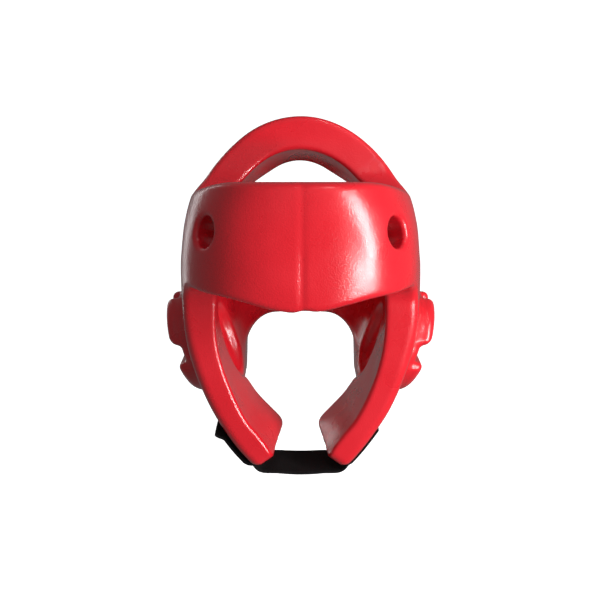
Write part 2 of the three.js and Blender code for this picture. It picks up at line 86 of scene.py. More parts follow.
REAR_BEGINS = -0.2  # the top edge turns to the rear pad's from this share of FRONT_REACH
JAW_SHARE = 0.55  # run of the edge from the flaps up to the rear pad, as a share of a flap's width
JAW_SLOPE = 8.8  # four times the slope of that edge
FLAP_FRONT_Y = -0.062
FLAP_WIDTH = 0.050
FLAP_TIP_X = 0.040  # the tip's lowest point, from the middle
FLAP_TIP_TILT = np.radians(38)  # the tip is cut at this angle to the level
TIP_WALL = 0.0315  # foam thickness of the tips
TIP_WALL_TOP = -0.106  # it begins at this height
TIP_WALL_Z = -0.132  # and is full from here down
BROW_ARCHING = 0.009
BROW_ARCH_SHARE = 0.62  # the rim rises over this share of HALF_WIDTH
BROW_NOTCH = 0.0018  # a small notch of the rim beside the crease
BROW_NOTCH_X = 0.003
BROW_NOTCH_WIDTH = 0.006
FACE_CORNER = 0.016
NAPE_HALF_WIDTH = 0.052
NAPE_TOP = -0.057
NAPE_CORNER = 0.026
CREASE_DEPTH = 0.0007
CREASE_WIDTH = 0.0025
CREASE_X = 0.001
CREASE_LEAST = 0.6  # share of the depth that it has everywhere, and that is added where it is deepest
CREASE_DEEP_Z = 0.024
CREASE_DEEP_LENGTH = 0.018
VENT_RADIUS = 0.0115
VENT_ROLL = 0.004
FRONT_VENT = (-0.089, 0.054)  # y and z
SIDE_VENT = (-0.030, 0.035)
EAR_Y = 0.014
EAR_Z = -0.062
BOSS_RADIUS = 0.044
BOSS_PROUD = 0.018
BOSS_ROUND = 0.0065
BOSS_FILLET = 0.004
LOBE_CORNER = 0.007
CHANNEL_DEPTH = 0.008
CHANNEL_WIDTH = 0.015
CHANNEL_FILLET = 0.003
HEARING_RADIUS = 0.0115
HEARING_ROLL = 0.004
HEARING_INNER_X = 0.04  # the hole is cut from here outward
POCKET_HEIGHT = 0.062
POCKET_WIDTH = 0.046
POCKET_DEPTH = 0.009
POCKET_ROUND = 0.006
POCKET_LIP = 0.005
WAVE = 0.0003  # the moulded face isn't quite even
WAVE_X = 0.013  # lengths over which the wave turns by a radian
WAVE_Y = 0.019
WAVE_Z = 0.016
WAVE_SKEW = 0.027
EDGE_MARGIN = 0.006  # between the shell and the end of the grid that it is found on
SHELL_CELL = 0.0017

# Sections as shares of the sizes above: level of BROW_HEIGHT over the rim or of FLAP_DROP under it, width of
# HALF_WIDTH, front of FRONT_REACH, rear of REAR_REACH, and the exponent of the superellipse's front half
REAR_POWER = 2.4
SECTIONS = np.array([
    # level, width, front, rear, power
    (-1.30, 0.120, 0.850, 0.500, 4.0),
    (-1.10, 0.250, 0.920, 0.600, 4.0),
    (-0.97, 0.410, 0.960, 0.680, 4.0),
    (-0.89, 0.515, 0.980, 0.730, 4.0),
    (-0.775, 0.640, 1.000, 0.780, 4.0),
    (-0.66, 0.745, 1.000, 0.830, 4.0),
    (-0.53, 0.835, 1.000, 0.880, 3.9),
    (-0.37, 0.920, 1.000, 0.940, 3.6),
    (-0.18, 0.990, 1.000, 0.980, 3.0),
    (0.00, 1.010, 1.000, 1.000, 2.7),
    (0.30, 1.000, 0.995, 0.995, 2.7),
    (0.56, 0.965, 0.980, 0.965, 2.7),
    (0.80, 0.900, 0.950, 0.910, 2.6),
    (1.00, 0.810, 0.900, 0.850, 2.5),
    (1.30, 0.620, 0.760, 0.720, 2.5),
])
SECTION_Z = np.where(SECTIONS[:, 0] > 0, BROW_HEIGHT, FLAP_DROP) * SECTIONS[:, 0]

# Upper edge of the forehead pad from the side: reach of FRONT_REACH, height of BROW_HEIGHT
TOP_EDGE = np.array([(-1.1, 1.0), (-0.9, 1.0), (-0.74, 0.985), (-0.5, 0.91), (-0.2, 0.81)])


def through(knots, values, at):
    """Smooth curve through points: cubic pieces whose slope at a knot is the mean slope around it."""
    slopes = np.gradient(values, knots)
    at = np.clip(at, knots[0], knots[-1])
    i = np.clip(np.searchsorted(knots, at) - 1, 0, len(knots) - 2)
    span = knots[i + 1] - knots[i]
    t = (at - knots[i]) / span
    rise = (3 - 2 * t) * t * t
    return (values[i] * (1 - rise) + values[i + 1] * rise
            + span * t * (1 - t) * (slopes[i] * (1 - t) - slopes[i + 1] * t))


def ramp(start, end, at):
    """Smooth step from 0 at the start to 1 at the end: 3 t^2 - 2 t^3."""
    t = np.clip((at - start) / (end - start), 0, 1)
    return t * t * (3 - 2 * t)


def round_max(a, b, radius):
    """The greater of two signed distances, but along a quarter circle where both are near zero."""
    corner = np.hypot(np.maximum(a + radius, 0), np.maximum(b + radius, 0))
    return np.minimum(-radius, np.maximum(a, b)) + corner


def round_min(a, b, radius):
    """The lesser of two signed distances with a fillet: round_max of their opposites, turned round."""
    return -round_max(-a, -b, radius)


def section_share(x, y, z):
    """(|x/width|^p + |y/reach|^p)^(1/p) at the height z: 1 on the outer face."""
    columns = [through(SECTION_Z, SECTIONS[:, i], z) for i in (1, 2, 3, 4)]
    width = columns[0] * HALF_WIDTH
    front, rear = columns[1] * FRONT_REACH + WIDEST_Y, columns[2] * REAR_REACH - WIDEST_Y
    along = y - WIDEST_Y
    reach = np.where(along < 0, front, rear)
    power = np.where(along < 0, columns[3], REAR_POWER)
    return ((np.abs(x) / width) ** power + (np.abs(along) / reach) ** power + 1e-12) ** (1 / power)


def section_gap(x, y, z):
    """Level distance from the section's outline: the point's radius less the outline's radius that way."""
    return np.hypot(x, y - WIDEST_Y) * (1 - 1 / section_share(x, y, z))


LEAST_SLOPE = 0.3  # a Newton step divides by no less


def slope_of(field, x, y, z, h=0.0005):
    """Gradient of a field by differences over 2 h along each axis."""
    return ((field(x + h, y, z) - field(x - h, y, z)) / (2 * h),
            (field(x, y + h, z) - field(x, y - h, z)) / (2 * h),
            (field(x, y, z + h) - field(x, y, z - h)) / (2 * h))


def pad_distance(x, y, z):
    """Level distance over the slope of the face at the point of the outline that lies the same way."""
    share = section_share(x, y, z)
    near = np.maximum(share, 0.3)
    u, v = x / near, WIDEST_Y + (y - WIDEST_Y) / near
    steep = np.sqrt(sum(part * part for part in slope_of(section_gap, u, v, z)))
    gap = np.hypot(x, y - WIDEST_Y) * (1 - 1 / near)
    return np.where(share < 0.3, -0.7 * HALF_WIDTH, gap / np.maximum(steep, 0.5))


def arch_distance(x, y, z):
    """Distance from the arch's ellipsoid: k (k - 1) over the gradient's length, k the share of its axes."""
    parts = [(value - middle) / axis
             for value, middle, axis in zip((x, y, z), ARCH_MIDDLE, ARCH_AXES)]
    share = np.sqrt(sum(part * part for part in parts))
    steep = np.sqrt(sum((part / axis) ** 2 for part, axis in zip(parts, ARCH_AXES)))
    return share * (share - 1) / np.maximum(steep, 1e-6)


def arch_share(y, z):
    """0 on the pads, 1 on the arch: a product of two smooth steps, upward and rearward."""
    return (ramp(ARCH_BEGINS * BROW_HEIGHT, ARCH_RULES * BROW_HEIGHT, z)
            * ramp(ARCH_FRONT_Y - ARCH_LEAD * ARCH_FILLET, ARCH_FRONT_Y - ARCH_TRAIL * ARCH_FILLET, y))


def face_distance(x, y, z):
    """Distance from the outer face: the pads' and the arch's, mixed by the arch's share."""
    share = arch_share(y, z)
    return pad_distance(x, y, z) * (1 - share) + arch_distance(x, y, z) * share


def side_outline(y, z):
    """Signed distance from the side view's outline: pads below their top edge, joined to the arch by fillets,
    and a lower edge that steps up from the flaps to the rear pad."""
    rearward = ramp(REAR_BEGINS * FRONT_REACH, ARCH_REAR_Y, y)
    front_top = through(TOP_EDGE[:, 0] * FRONT_REACH, TOP_EDGE[:, 1] * BROW_HEIGHT, y)
    spread = ARCH_SPREAD * (1 - ramp(SPREAD_FULL * BROW_HEIGHT, SPREAD_GONE * BROW_HEIGHT, z))
    arch = np.maximum(ARCH_FRONT_Y - spread - y, y - ARCH_REAR_Y - REAR_SPREAD * spread)
    upper = round_min(z - (front_top * (1 - rearward) + REAR_TOP * rearward), arch, ARCH_FILLET)
    flap_rear = FLAP_FRONT_Y + FLAP_WIDTH
    jaw = ramp(flap_rear, flap_rear + JAW_SHARE * FLAP_WIDTH, y)
    bottom = -FLAP_DROP * (1 - jaw) + REAR_BOTTOM * jaw
    return np.maximum(upper, (bottom - z) / np.hypot(1, JAW_SLOPE * jaw * (1 - jaw)))


def face_opening(x, y, z):
    """Under the arched brow rim and before the flaps, with a round corner; below zero in the opening."""
    notch = BROW_NOTCH * np.exp(-((x - BROW_NOTCH_X) / BROW_NOTCH_WIDTH) ** 2)
    rim = BROW_ARCHING * ramp(0, BROW_ARCH_SHARE * HALF_WIDTH, np.abs(x)) + notch
    return round_max(z - rim, y - FLAP_FRONT_Y, FACE_CORNER)


def ear_boss(face, y, z):
    """A disc on the face, and on it what a cross of channels leaves of a higher disc."""
    disc = np.hypot(y - EAR_Y, z - EAR_Z) - BOSS_RADIUS
    channels = np.minimum(np.abs(y - EAR_Y), np.abs(z - EAR_Z)) - CHANNEL_WIDTH / 2
    lobes = round_max(face - BOSS_PROUD, round_max(disc, -channels, LOBE_CORNER), BOSS_ROUND)
    ring = round_max(face - BOSS_PROUD + CHANNEL_DEPTH, disc, BOSS_ROUND)
    return np.maximum(round_min(lobes, ring, CHANNEL_FILLET), -face - WALL / 2)


def ear_pocket(face, y, z):
    """Oval hollow on the inside, as deep as its own size says; below zero in the hollow."""
    oval = np.hypot(2 * (y - EAR_Y) / POCKET_WIDTH, 2 * (z - EAR_Z) / POCKET_HEIGHT) - 1
    return round_max(oval * POCKET_WIDTH / 2, face + WALL - POCKET_DEPTH, POCKET_ROUND)


def off_face(y, z, height):
    """Newton steps along x to the point beside y and z whose distance from the face is the height."""
    h = 0.0005
    x = np.full(np.broadcast(y, z).shape, HALF_WIDTH)
    for _ in range(8):
        steep = (face_distance(x + h, y, z) - face_distance(x - h, y, z)) / (2 * h)
        x = x - (face_distance(x, y, z) - height) / np.maximum(steep, LEAST_SLOPE)
    return x


def vent_axes():
    """Middle and outward direction of each vent of the right side: on the face, square to it."""
    axes = []
    for y, z in (FRONT_VENT, SIDE_VENT):
        middle = np.array([float(off_face(np.array(y), np.array(z), 0.0)), y, z])
        way = np.array(slope_of(face_distance, *middle))
        axes.append((middle, way / np.linalg.norm(way)))
    return axes


VENTS = vent_axes()


def shell_distance(x, y, z):
    """The walls cut by the outlines with round rims, with bosses added and pockets and holes taken out."""
    face = face_distance(x, y, z)
    face = face + WAVE * np.sin(x / WAVE_X + y / WAVE_Y) * np.cos(z / WAVE_Z - y / WAVE_SKEW)
    share = arch_share(y, z)
    side_wall = TIP_WALL + (WALL - TIP_WALL) * ramp(TIP_WALL_Z, TIP_WALL_TOP, z)
    thick = side_wall * (1 - share) + ARCH_WALL * share
    deeper = CREASE_LEAST * (1 + np.exp(-((z - CREASE_DEEP_Z) / CREASE_DEEP_LENGTH) ** 2))
    crease = np.where(y < 0, CREASE_DEPTH, 0) * deeper * np.exp(-((x - CREASE_X) / CREASE_WIDTH) ** 2)
    cut = (FLAP_TIP_X - np.abs(x)) * np.sin(FLAP_TIP_TILT) - (z + FLAP_DROP) * np.cos(FLAP_TIP_TILT)
    notch = round_max(np.abs(x) - NAPE_HALF_WIDTH, z - NAPE_TOP, NAPE_CORNER)
    rim = FLAP_RIM + (BAND_RIM - FLAP_RIM) * ramp(FLAP_RIM_Z, BAND_RIM_Z, z)
    opening = round_max(-face_opening(x, y, z), cut, FLAP_RIM)
    below = np.maximum(opening, -np.maximum(notch, EAR_Y - y))
    outline = round_max(side_outline(y, z), below, FLAP_RIM)
    body = round_max(face + crease, outline, rim)
    body = round_max(body, -face - thick, INNER_RIM)
    body = round_min(body, ear_boss(face, y, z), BOSS_FILLET)
    body = round_max(body, -ear_pocket(face, y, z), POCKET_LIP)
    hearing = np.hypot(y - EAR_Y, z - EAR_Z) - HEARING_RADIUS
    body = round_max(body, -np.maximum(hearing, HEARING_INNER_X - np.abs(x)), HEARING_ROLL)
    for middle, way in VENTS:
        gap = np.stack(np.broadcast_arrays(np.abs(x) - middle[0], y - middle[1], z - middle[2]))
        along = np.tensordot(way, gap, 1)
        radial = np.sqrt(np.maximum((gap * gap).sum(0) - along * along, 0)) - VENT_RADIUS
        body = round_max(body, -np.maximum(radial, np.abs(along) - 1.6 * WALL), VENT_ROLL)
    return body


def settle(field, points, distance, steps, most=1.0):
    """Newton steps along the gradient to where the field has the value asked for."""
    for _ in range(steps):
        slope = np.stack(slope_of(field, *points.T, h=0.0003), 1)
        miss = (field(*points.T) - distance) / np.maximum((slope * slope).sum(1), LEAST_SLOPE)
        move = -slope * miss[:, None]
        length = np.linalg.norm(move, axis=1, keepdims=True)
        points = points + move * np.minimum(1, most / np.maximum(length, 1e-12))
    return points


def skin_of(field, low, high, cell):
    """Closed surface where the field is zero: one vertex in each cell of a grid that the surface crosses, at
    the mean of its crossings and then settled, and one quad round each grid edge that it crosses."""
    count = np.ceil((high - low) / cell).astype(int) + 1
    corner = (low + high) / 2 - cell * (count - 1) / 2
    axes = [corner[a] + cell * np.arange(count[a]) for a in range(3)]
    value = np.empty(count)
    slab = 12
    for start in range(0, count[2], slab):
        z = axes[2][None, None, start:start + slab]
        value[:, :, start:start + slab] = field(axes[0][:, None, None], axes[1][None, :, None], z)
    inside = value < 0
    cells = count - 1
    total = np.zeros((3, cells.prod()))
    hits = np.zeros(cells.prod())
    quads = []
    for axis in range(3):
        lower = [slice(None)] * 3
        upper = [slice(None)] * 3
        lower[axis], upper[axis] = slice(None, -1), slice(1, None)
        edge = np.argwhere(inside[tuple(lower)] != inside[tuple(upper)])
        first = value[tuple(edge.T)]
        far = edge.copy()
        far[:, axis] += 1
        share = first / (first - value[tuple(far.T)])
        place = corner + cell * edge
        place[:, axis] += cell * share
        ring = []
        for back_a, back_b in ((1, 1), (0, 1), (0, 0), (1, 0)):
            spot = edge.copy()
            spot[:, (axis + 1) % 3] -= back_a
            spot[:, (axis + 2) % 3] -= back_b
            flat = np.ravel_multi_index(spot.T, cells)
            hits += np.bincount(flat, minlength=hits.size)
            for a in range(3):
                total[a] += np.bincount(flat, place[:, a], hits.size)
            ring.append(flat)
        ring = np.stack(ring, 1)
        ring[first >= 0] = ring[first >= 0][:, ::-1]
        quads.append(ring)
    used = np.flatnonzero(hits)
    number = np.full(hits.size, -1)
    number[used] = np.arange(used.size)
    start = (total[:, used] / hits[used]).T
    points = settle(field, start, 0.0, 3, cell / 2)
    return points, number[np.concatenate(quads)]


def crown_seat():
    """The point of the arch's underside that is the row's origin, in the head frame."""
    start = np.array([[0.0, (ARCH_FRONT_Y + ARCH_REAR_Y) / 2, ARCH_MIDDLE[2] + ARCH_AXES[2]]])
    return settle(arch_distance, start, -ARCH_WALL, 8)[0]


SEAT = crown_seat()


def new_piece(name, points, faces, slot, smooth=True):
    """Mesh from arrays of points in the head frame and of faces, moved to make the crown seat the origin."""
    mesh = bpy.data.meshes.new(name)
    mesh.from_pydata((points - SEAT).tolist(), [], faces.tolist())
    mesh.polygons.foreach_set("use_smooth", np.full(len(mesh.polygons), smooth))
    mesh.update()
    piece = bpy.data.objects.new(name, mesh)
    bpy.context.collection.objects.link(piece)
    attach(piece, "root")
    return piece


reach = HALF_WIDTH + BOSS_PROUD + EDGE_MARGIN
shell_low = np.array([-reach, -FRONT_REACH - EDGE_MARGIN, -FLAP_DROP - EDGE_MARGIN])
shell_high = np.array([reach, REAR_REACH + EDGE_MARGIN, ARCH_MIDDLE[2] + ARCH_AXES[2] + EDGE_MARGIN])
shell = new_piece("foam_shell", *skin_of(shell_distance, shell_low, shell_high, SHELL_CELL), "red_vinyl")
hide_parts("shell")


def node_group(name, inputs, outputs):
    """Empty shader node group: its float inputs are given as (name, value), its outputs as (name, type)."""
    group = bpy.data.node_groups.new(name, "ShaderNodeTree")
    for label, value in inputs:
        socket = group.interface.new_socket(label, in_out="INPUT", socket_type="NodeSocketFloat")
        socket.default_value = value
    for label, kind in outputs:
        group.interface.new_socket(label, in_out="OUTPUT", socket_type=kind)
    return group, group.nodes.new("NodeGroupInput"), group.nodes.new("NodeGroupOutput")


def add_node(tree, kind, links=None, **settings):
    """Node of a kind in a tree: settings are its properties, links fill its inputs with values or sockets."""
    node = tree.nodes.new(kind)
    for name, value in settings.items():
        setattr(node, name, value)
    for name, value in (links or {}).items():
        socket = node.inputs[name]
        if isinstance(value, bpy.types.NodeSocket):
            tree.links.new(value, socket)
        else:
            socket.default_value = value
    return node


def grain_group():
    """Height of a pebbled skin: rounded cells of two sizes, broken up by noise, on object coordinates."""
    group, come, go = node_group(
        "pebbled_grain", [("Scale", 900.0), ("Breakup", 0.5)],
        [("Height", "NodeSocketFloat"), ("Patches", "NodeSocketFloat")])
    where = add_node(group, "ShaderNodeTexCoord").outputs["Object"]
    size = come.outputs["Scale"]
    cells = add_node(group, "ShaderNodeTexVoronoi", {"Vector": where, "Scale": size}, feature="SMOOTH_F1")
    finer = add_node(group, "ShaderNodeMath", {0: size, 1: 2.1}, operation="MULTIPLY")
    noise = add_node(group, "ShaderNodeTexNoise", {"Vector": where, "Scale": finer.outputs[0], "Detail": 3.0})
    mixed = add_node(group, "ShaderNodeMath", {0: noise.outputs["Fac"], 1: come.outputs["Breakup"]},
                     operation="MULTIPLY")
    height = add_node(group, "ShaderNodeMath", {0: mixed.outputs[0], 1: cells.outputs["Distance"]},
                      operation="SUBTRACT")
    coarse = add_node(group, "ShaderNodeMath", {0: size, 1: 0.03}, operation="MULTIPLY")
    patches = add_node(group, "ShaderNodeTexNoise", {
        "Vector": where, "Scale": coarse.outputs[0], "Detail": 4.0})
    group.links.new(height.outputs[0], go.inputs["Height"])
    group.links.new(patches.outputs["Fac"], go.inputs["Patches"])
    return group


GRAIN = grain_group()


def new_material(name, **settings):
    """Material with its Principled shader's plain values set; gives the material, its tree and the shader."""
    material = bpy.data.materials.new(name)
    material.use_nodes = True
    tree = material.node_tree
    shader = tree.nodes["Principled BSDF"]
    for label, value in settings.items():
        shader.inputs[label.replace("_", " ")].default_value = value
    return material, tree, shader


def vinyl_material():
    """Glossy red vinyl: pebbled grain, shallow dimples, and patches that are a little darker or duller."""
    material, tree, shader = new_material("red_vinyl", Coat_Weight=0.7, Coat_Roughness=0.11,
                                          Specular_IOR_Level=0.4)
    grain = add_node(tree, "ShaderNodeGroup", {"Scale": 900.0, "Breakup": 0.7}, node_tree=GRAIN)
    where = add_node(tree, "ShaderNodeTexCoord").outputs["Object"]
    dimples = add_node(tree, "ShaderNodeTexNoise", {"Vector": where, "Scale": 55.0, "Detail": 2.0})
    rough = add_node(tree, "ShaderNodeMapRange", {
        "Value": grain.outputs["Patches"], "From Min": 0.3, "From Max": 0.7, "To Min": 0.24, "To Max": 0.34})
    colour = add_node(tree, "ShaderNodeMix", {
        "Factor": grain.outputs["Patches"],
        6: (0.56, 0.006, 0.014, 1), 7: (0.66, 0.013, 0.024, 1)}, data_type="RGBA")
    low = add_node(tree, "ShaderNodeBump", {
        "Height": dimples.outputs["Fac"], "Strength": 0.25, "Distance": 0.0008})
    fine = add_node(tree, "ShaderNodeBump", {
        "Height": grain.outputs["Height"], "Strength": 0.40, "Distance": 0.00025,
        "Normal": low.outputs["Normal"]})
    tree.links.new(colour.outputs[2], shader.inputs["Base Color"])
    tree.links.new(rough.outputs[0], shader.inputs["Roughness"])
    tree.links.new(fine.outputs["Normal"], shader.inputs["Normal"])
    tree.links.new(fine.outputs["Normal"], shader.inputs["Coat Normal"])
    return material


shell.data.materials.append(vinyl_material())

# The chin strap
# A band of black elastic webbing, woven across its width. It runs from a rivet on the one flap under the chin
# to a touch fastener on the other, where its free end stands off a little as a tab.
GAP = 0.0005  # clearance between pieces that touch
STRAP_WIDTH = 0.040
STRAP_Y = FLAP_FRONT_Y + FLAP_RIM + STRAP_WIDTH / 2
STRAP_THICK = 0.002
STRAP_TOP = 0.037
STRAP_SAG = 0.003
SAG_REAR = 0.55  # share of the sag at the strap's rear edge
STRAP_COLUMNS = 25  # places across the strap that its mesh has
SAG_SPAN = 0.55  # this and the next five are shares of half the strap's way
RIVET_TO_END = 0.09
PATCH_FROM = -0.9
PATCH_TO = -0.63
RISE_FROM = -0.5
RISE_TO = -0.6
TAB_LIFT = 0.004
PATCH_THICK = 0.0011
PATCH_STACK = 2 * (PATCH_THICK + GAP) + GAP
PATCH_MARGIN = 0.003
RIB_PITCH = 0.0011  # one weft rib of the webbing
THREAD_RADIUS = 0.00035
STITCH_PITCH = 0.0034
SEAM_INSET = 0.001  # from the patch's long edges
SEAM_INSET_SHARE = 0.02  # from its ends, as a share of half the strap's way
SEAM_BEYOND = 2.2  # row across beside the rivet, in distances from the rivet to the strap's end


def strap_ways(across):
    """Right half of the strap's way for each place across it: points of a smooth curve through six knots,
    from under the chin to the flap, spaced evenly along it."""
    tip = FLAP_TIP_X * np.array([0, 0.45, 0.85])
    rises = np.array([FLAP_RIM, (FLAP_RIM + STRAP_TOP) / 2, STRAP_TOP])
    ways = []
    for y in across:
        face = off_face(np.full(3, y), rises - FLAP_DROP, -0.001)
        knots = np.concatenate([np.stack([tip, np.full(3, -FLAP_DROP)], 1),
                                np.stack([face, rises - FLAP_DROP], 1)])
        chord = np.concatenate([[0], np.cumsum(np.sqrt(np.hypot(*np.diff(knots, axis=0).T)))])
        fine = np.linspace(0, chord[-1], 400)
        bent = np.stack([through(chord, knots[:, a], fine) for a in (0, 1)], 1)
        run = np.concatenate([[0], np.cumsum(np.hypot(*np.diff(bent, axis=0).T))])
        ways.append((bent, run / run[-1], run[-1]))
    return ways


def strap_sheet(across, shares, clear, sag=STRAP_SAG):
    """Points (share, across, xyz) of the strap's underside: its way mirrored for shares below 0, a sag of a
    squared cosine between the flaps, and every point pushed out until it clears the shell."""
    grid = np.empty((len(shares), len(across), 3))
    for j, (bent, run, _) in enumerate(strap_ways(across)):
        grid[:, j, 0] = np.sign(shares) * np.interp(np.abs(shares), run, bent[:, 0])
        grid[:, j, 1] = across[j]
        grid[:, j, 2] = np.interp(np.abs(shares), run, bent[:, 1])
    middle = np.maximum(np.cos(np.clip(shares / SAG_SPAN, -1, 1) * np.pi / 2), 0) ** 2
    grid[:, :, 2] -= sag * middle[:, None] * np.linspace(1, SAG_REAR, len(across))
    points = grid.reshape(-1, 3)
    for _ in range(6):
        slope = np.stack(slope_of(shell_distance, *points.T, h=0.0003), 1)
        short = np.maximum(GAP - shell_distance(*points.T), 0)
        points = points + slope * (short / np.maximum((slope * slope).sum(1), LEAST_SLOPE))[:, None]
    slope = np.stack(slope_of(shell_distance, *points.T, h=0.0003), 1)
    slope /= np.linalg.norm(slope, axis=1, keepdims=True)
    points = points + slope * (np.repeat(clear, len(across)) - GAP)[:, None]
    return points.reshape(grid.shape)


def sheet_normals(grid):
    """Unit normals of a sheet of points, away from the shell: across differences by along differences."""
    along = np.gradient(grid, axis=0)
    sideways = np.gradient(grid, axis=1)
    normals = np.cross(sideways, along)
    return normals / np.linalg.norm(normals, axis=2, keepdims=True)


def slab_of(grid, thick, round_share=0.35):
    """Closed quads round a sheet: a ring round each row, whose long edges are rounded by the share of the
    thickness, and a cap at both ends. Gives the points, the faces round the sides and those of the caps."""
    normals = sheet_normals(grid)
    sideways = np.gradient(grid, axis=1)
    sideways /= np.linalg.norm(sideways, axis=2, keepdims=True)
    inset = np.zeros(grid.shape[1])
    inset[0], inset[-1] = round_share, -round_share
    low = grid + sideways * (inset * thick)[None, :, None]
    edge_near = grid[:, :1] + normals[:, :1] * thick / 2
    edge_far = grid[:, -1:] + normals[:, -1:] * thick / 2
    high = low + normals * thick
    rings = np.concatenate([low, edge_far, high[:, ::-1], edge_near], 1)
    rows, size = rings.shape[:2]
    number = np.arange(rows * size).reshape(rows, size)
    following = np.roll(number, -1, 1)
    sides = np.stack([number[:-1], following[:-1], following[1:], number[1:]], -1).reshape(-1, 4)
    half = grid.shape[1]
    caps = []
    for row, turn in ((0, 1), (rows - 1, -1)):
        lower = number[row, :half]
        upper = number[row, half + 1:2 * half + 1][::-1]
        quads = np.stack([lower[:-1], upper[:-1], upper[1:], lower[1:]], 1)
        ends = np.array([[lower[0], number[row, -1], upper[0], upper[0]],
                         [lower[-1], upper[-1], number[row, half], number[row, half]]])
        caps.append((quads[:, ::turn], ends[:, ::turn]))
    return rings.reshape(-1, 3), sides, caps


def webbing_piece(name, across, shares, clear, thick, sag=STRAP_SAG):
    """Piece of webbing between the shares of the strap's way, with its UV in metres along and across."""
    grid = strap_sheet(across, shares, clear, sag)
    points, sides, caps = slab_of(grid, thick)
    faces = [tuple(face) for face in sides.tolist()]
    for quads, ends in caps:
        faces += [tuple(face) for face in quads.tolist()]
        faces += [tuple(dict.fromkeys(face)) for face in ends.tolist()]
    mesh = bpy.data.meshes.new(name)
    mesh.from_pydata((points - SEAT).tolist(), [], faces)
    mesh.polygons.foreach_set("use_smooth", np.ones(len(mesh.polygons), bool))
    mesh.update()
    length = strap_ways(across[:1])[0][2]
    size = len(points) // len(shares)
    width = np.concatenate([across, across[-1:], across[::-1], across[:1]])
    place = np.stack([np.repeat(shares * length, size), np.tile(width - STRAP_Y, len(shares))], 1)
    loops = np.empty(len(mesh.loops), int)
    mesh.loops.foreach_get("vertex_index", loops)
    mesh.uv_layers.new(name="weave").data.foreach_set("uv", place[loops].ravel())
    piece = bpy.data.objects.new(name, mesh)
    bpy.context.collection.objects.link(piece)
    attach(piece, "root")
    return piece, grid


def strap_clear(shares):
    """Clearance from the shell: the fastener's stack on the left, its gap elsewhere, and the tab's lift."""
    stacked = 1 - ramp(RISE_TO, RISE_FROM, shares)
    lifted = TAB_LIFT * (1 - ramp(-1, PATCH_FROM, shares))
    return GAP * (1 - stacked) + PATCH_STACK * stacked + lifted


def across_of(width, count):
    """Places across the strap for a band of a width, evenly spaced."""
    return STRAP_Y + width * (np.linspace(0, 1, count) - 0.5)


STEPS = 300
strap_shares = np.linspace(-1, 1, STEPS + 1)
strap_across = across_of(STRAP_WIDTH, STRAP_COLUMNS)
strap, strap_grid = webbing_piece("webbing_strap", strap_across, strap_shares,
                                  strap_clear(strap_shares), STRAP_THICK)
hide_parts("chin_strap")

patch_shares = np.linspace(PATCH_FROM, PATCH_TO, 40)
patch_across = across_of(STRAP_WIDTH - 2 * PATCH_MARGIN, 21)
loop_clear = np.full(len(patch_shares), GAP)
loop_patch, _ = webbing_piece("soft_patch", patch_across, patch_shares, loop_clear, PATCH_THICK,
                              0)
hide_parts("loop_patch")
hook_clear = np.full(len(patch_shares), 2 * GAP + PATCH_THICK)
hook_patch, _ = webbing_piece("hooked_patch", patch_across, patch_shares, hook_clear, PATCH_THICK,
                              0)
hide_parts("hook_patch")


def webbing_material():
    """Woven elastic: ribs across it from a sine of the UV's length, warp yarns from a sine of its width in
    step with the ribs, and fuzz of noise."""
    material, tree, shader = new_material("woven_elastic", Roughness=0.85, Specular_IOR_Level=0.2)
    where = add_node(tree, "ShaderNodeUVMap", uv_map="weave").outputs["UV"]
    parts = add_node(tree, "ShaderNodeSeparateXYZ", {0: where})
    rib = add_node(tree, "ShaderNodeMath", {0: parts.outputs["X"], 1: 2 * np.pi / RIB_PITCH},
                   operation="MULTIPLY")
    yarn = add_node(tree, "ShaderNodeMath", {0: parts.outputs["Y"], 1: 2 * np.pi / (0.8 * RIB_PITCH)},
                    operation="MULTIPLY")
    ribs = add_node(tree, "ShaderNodeMath", {0: rib.outputs[0]}, operation="SINE")
    yarns = add_node(tree, "ShaderNodeMath", {0: yarn.outputs[0]}, operation="SINE")
    weave = add_node(tree, "ShaderNodeMath", {0: ribs.outputs[0], 1: yarns.outputs[0]},
                     operation="MULTIPLY")
    both = add_node(tree, "ShaderNodeMath", {0: ribs.outputs[0], 1: weave.outputs[0]}, operation="ADD")
    fuzz = add_node(tree, "ShaderNodeTexNoise", {"Vector": where, "Scale": 1500.0, "Detail": 4.0})
    rough = add_node(tree, "ShaderNodeMath", {0: fuzz.outputs["Fac"], 1: 1.2}, operation="MULTIPLY")
    height = add_node(tree, "ShaderNodeMath", {0: both.outputs[0], 1: rough.outputs[0]}, operation="ADD")
    # The colour follows the weave's height: painted shade that darkens the grooves between ribs and yarns, plus
    # a random tone from the fuzz noise.
    shade = add_node(tree, "ShaderNodeMapRange", {
        "Value": height.outputs[0], "From Min": -1.0, "From Max": 2.4})
    colour = add_node(tree, "ShaderNodeMix", {
        "Factor": shade.outputs[0],
        6: (0.002, 0.002, 0.002, 1), 7: (0.006, 0.006, 0.0065, 1)}, data_type="RGBA")
    bump = add_node(tree, "ShaderNodeBump", {
        "Height": height.outputs[0], "Strength": 0.6, "Distance": 0.00018})
    tree.links.new(colour.outputs[2], shader.inputs["Base Color"])
    tree.links.new(bump.outputs["Normal"], shader.inputs["Normal"])
    return material


def nap_material(name, shade, scale):
    """Fastener face: a dark shade, matte, roughened by noise of the scale given."""
    material, tree, shader = new_material(name, Roughness=0.95, Base_Color=(shade, shade, shade * 1.05, 1),
                                          Specular_IOR_Level=0.2)
    where = add_node(tree, "ShaderNodeUVMap", uv_map="weave").outputs["UV"]
    nap = add_node(tree, "ShaderNodeTexNoise", {"Vector": where, "Scale": scale, "Detail": 5.0})
    bump = add_node(tree, "ShaderNodeBump", {
        "Height": nap.outputs["Fac"], "Strength": 0.8, "Distance": 0.0004})
    tree.links.new(bump.outputs["Normal"], shader.inputs["Normal"])
    return material


